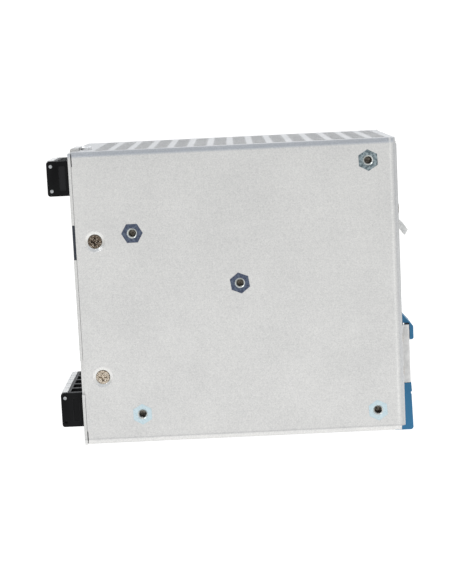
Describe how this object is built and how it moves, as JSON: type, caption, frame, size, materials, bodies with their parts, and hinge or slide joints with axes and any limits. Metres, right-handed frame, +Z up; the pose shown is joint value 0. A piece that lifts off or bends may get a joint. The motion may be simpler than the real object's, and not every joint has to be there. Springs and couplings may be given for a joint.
{
  "type": "din rail power supply",
  "caption": "Metal-cased power supply that clips onto a top-hat rail, with screw terminals on its front and a sliding spring latch on its back.",
  "frame": {"origin": "centre line of the mounting rail, in the plane where the rail's flanges seat, at mid width", "axes": "+Z up, -Y out of the terminal face, +Y towards the rail, +X to the right seen from the front"},
  "size_m": [0.0856, 0.1552, 0.1332],
  "materials": {
    "case_aluminium": "fine satin grain",
    "nickel_screws": "warm nickel plate",
    "board_screw": "dull brass plate",
    "zinc_standoff": "bright zinc plate",
    "hook_zinc": "zinc plate",
    "bracket_zinc": "pale satin",
    "blue_plastic": "moulded",
    "spring_steel": "wire",
    "black_plastic": "moulded, fine texture",
    "rod_steel": "turned end",
    "marker_white": "moulded",
    "terminal_steel": "nickel plate",
    "light_pipe": "clear green",
    "trimmer_plastic": "moulded",
    "trimmer_white": "moulded",
    "insulation_film": "film",
    "circuit_board": "solder mask",
    "ferrite": "sintered",
    "copper_wire": "enamelled wire",
    "heatsink_aluminium": "extruded",
    "component_epoxy": "moulded epoxy",
    "capacitor_sleeve": "shrink sleeve",
    "capacitor_box": "moulded box",
    "disc_ceramic": "coated disc",
    "fuse_ceramic": "tube with caps"
  },
  "bodies": {
    "supply": {"board_screws": "board_screw", "bridge_rectifier": "component_epoxy", "bulk_capacitors": "capacitor_sleeve", "chassis_shell": "case_aluminium", "clinch_standoffs": "zinc_standoff", "clip_screws": "nickel_screws", "control_board": "circuit_board", "cover_screws": "nickel_screws", "din_bracket": "bracket_zinc", "din_hook": "hook_zinc", "emi_choke_core": "ferrite", "emi_choke_windings": "copper_wire", "front_panel": "case_aluminium", "fuse": "fuse_ceramic", "input_end_plates": "black_plastic", "input_terminal_housing": "black_plastic", "insulation_sheet": "insulation_film", "latch_spring": "spring_steel", "led_light_pipe": "light_pipe", "left_cover": "case_aluminium", "main_board": "circuit_board", "marker_strips": "marker_white", "output_capacitors": "capacitor_sleeve", "output_choke": "copper_wire", "output_end_plates": "black_plastic", "output_rectifiers": "component_epoxy", "output_terminal_housing": "black_plastic", "panel_screws": "nickel_screws", "pfc_choke_core": "ferrite", "pfc_choke_winding": "copper_wire", "power_transistors": "component_epoxy", "primary_heatsink": "heatsink_aluminium", "secondary_heatsink": "heatsink_aluminium", "terminal_board": "circuit_board", "terminal_clamps": "terminal_steel", "terminal_rods": "rod_steel", "transformer_core": "ferrite", "transformer_winding": "copper_wire", "trimmer_body": "trimmer_plastic", "x_capacitors": "capacitor_box", "y_capacitors": "disc_ceramic"},
    "latch": {"din_latch": "blue_plastic"},
    "trimmer": {"trimmer_rotor": "trimmer_white"},
    "input_plate_1": {"input_clamp_plate_1": "terminal_steel"},
    "input_screw_1": {"input_clamp_screw_1": "terminal_steel"},
    "input_plate_2": {"input_clamp_plate_2": "terminal_steel"},
    "input_screw_2": {"input_clamp_screw_2": "terminal_steel"},
    "input_plate_3": {"input_clamp_plate_3": "terminal_steel"},
    "input_screw_3": {"input_clamp_screw_3": "terminal_steel"},
    "output_plate_1": {"output_clamp_plate_1": "terminal_steel"},
    "output_screw_1": {"output_clamp_screw_1": "terminal_steel"},
    "output_plate_2": {"output_clamp_plate_2": "terminal_steel"},
    "output_screw_2": {"output_clamp_screw_2": "terminal_steel"},
    "output_plate_3": {"output_clamp_plate_3": "terminal_steel"},
    "output_screw_3": {"output_clamp_screw_3": "terminal_steel"},
    "output_plate_4": {"output_clamp_plate_4": "terminal_steel"},
    "output_screw_4": {"output_clamp_screw_4": "terminal_steel"},
    "output_plate_5": {"output_clamp_plate_5": "terminal_steel"},
    "output_screw_5": {"output_clamp_screw_5": "terminal_steel"}
  },
  "joints": [
    {"name": "latch_slide", "type": "slide", "parent": "supply", "child": "latch", "axis": [0, 0, -1], "range_m": [0, 0.005], "stiffness_N_per_m": 2500, "springref_m": -0.004, "deforming": ["latch_spring"]},
    {"name": "trimmer_turn", "type": "hinge", "parent": "supply", "child": "trimmer", "pos_m": [-0.026, -0.1374, -0.053], "axis": [0, -1, 0], "range_deg": [-135, 135]},
    {"name": "input_plate_1_slide", "type": "slide", "parent": "supply", "child": "input_plate_1", "axis": [0, 1, 0], "range_m": [0, 0.00227]},
    {"name": "input_screw_1_turn", "type": "hinge", "parent": "input_plate_1", "child": "input_screw_1", "pos_m": [0.0155, -0.1463, 0.0505], "axis": [0, 1, 0], "range_deg": [0, 1170]},
    {"name": "input_plate_2_slide", "type": "slide", "parent": "supply", "child": "input_plate_2", "axis": [0, 1, 0], "range_m": [0, 0.00227]},
    {"name": "input_screw_2_turn", "type": "hinge", "parent": "input_plate_2", "child": "input_screw_2", "pos_m": [0.0247, -0.1463, 0.0505], "axis": [0, 1, 0], "range_deg": [0, 1170]},
    {"name": "input_plate_3_slide", "type": "slide", "parent": "supply", "child": "input_plate_3", "axis": [0, 1, 0], "range_m": [0, 0.00227]},
    {"name": "input_screw_3_turn", "type": "hinge", "parent": "input_plate_3", "child": "input_screw_3", "pos_m": [0.0339, -0.1463, 0.0505], "axis": [0, 1, 0], "range_deg": [0, 1170]},
    {"name": "output_plate_1_slide", "type": "slide", "parent": "supply", "child": "output_plate_1", "axis": [0, 1, 0], "range_m": [0, 0.00227]},
    {"name": "output_screw_1_turn", "type": "hinge", "parent": "output_plate_1", "child": "output_screw_1", "pos_m": [-0.0027, -0.1463, -0.0487], "axis": [0, 1, 0], "range_deg": [0, 1170]},
    {"name": "output_plate_2_slide", "type": "slide", "parent": "supply", "child": "output_plate_2", "axis": [0, 1, 0], "range_m": [0, 0.00227]},
    {"name": "output_screw_2_turn", "type": "hinge", "parent": "output_plate_2", "child": "output_screw_2", "pos_m": [0.0065, -0.1463, -0.0487], "axis": [0, 1, 0], "range_deg": [0, 1170]},
    {"name": "output_plate_3_slide", "type": "slide", "parent": "supply", "child": "output_plate_3", "axis": [0, 1, 0], "range_m": [0, 0.00227]},
    {"name": "output_screw_3_turn", "type": "hinge", "parent": "output_plate_3", "child": "output_screw_3", "pos_m": [0.0157, -0.1463, -0.0487], "axis": [0, 1, 0], "range_deg": [0, 1170]},
    {"name": "output_plate_4_slide", "type": "slide", "parent": "supply", "child": "output_plate_4", "axis": [0, 1, 0], "range_m": [0, 0.00227]},
    {"name": "output_screw_4_turn", "type": "hinge", "parent": "output_plate_4", "child": "output_screw_4", "pos_m": [0.0249, -0.1463, -0.0487], "axis": [0, 1, 0], "range_deg": [0, 1170]},
    {"name": "output_plate_5_slide", "type": "slide", "parent": "supply", "child": "output_plate_5", "axis": [0, 1, 0], "range_m": [0, 0.00227]},
    {"name": "output_screw_5_turn", "type": "hinge", "parent": "output_plate_5", "child": "output_screw_5", "pos_m": [0.0341, -0.1463, -0.0487], "axis": [0, 1, 0], "range_deg": [0, 1170]}
  ],
  "couplings": [
    {"joint": "input_screw_1_turn", "follows": "input_plate_1_slide", "rad_per_m": 8976},
    {"joint": "input_screw_2_turn", "follows": "input_plate_2_slide", "rad_per_m": 8976},
    {"joint": "input_screw_3_turn", "follows": "input_plate_3_slide", "rad_per_m": 8976},
    {"joint": "output_screw_1_turn", "follows": "output_plate_1_slide", "rad_per_m": 8976},
    {"joint": "output_screw_2_turn", "follows": "output_plate_2_slide", "rad_per_m": 8976},
    {"joint": "output_screw_3_turn", "follows": "output_plate_3_slide", "rad_per_m": 8976},
    {"joint": "output_screw_4_turn", "follows": "output_plate_4_slide", "rad_per_m": 8976},
    {"joint": "output_screw_5_turn", "follows": "output_plate_5_slide", "rad_per_m": 8976}
  ]
}
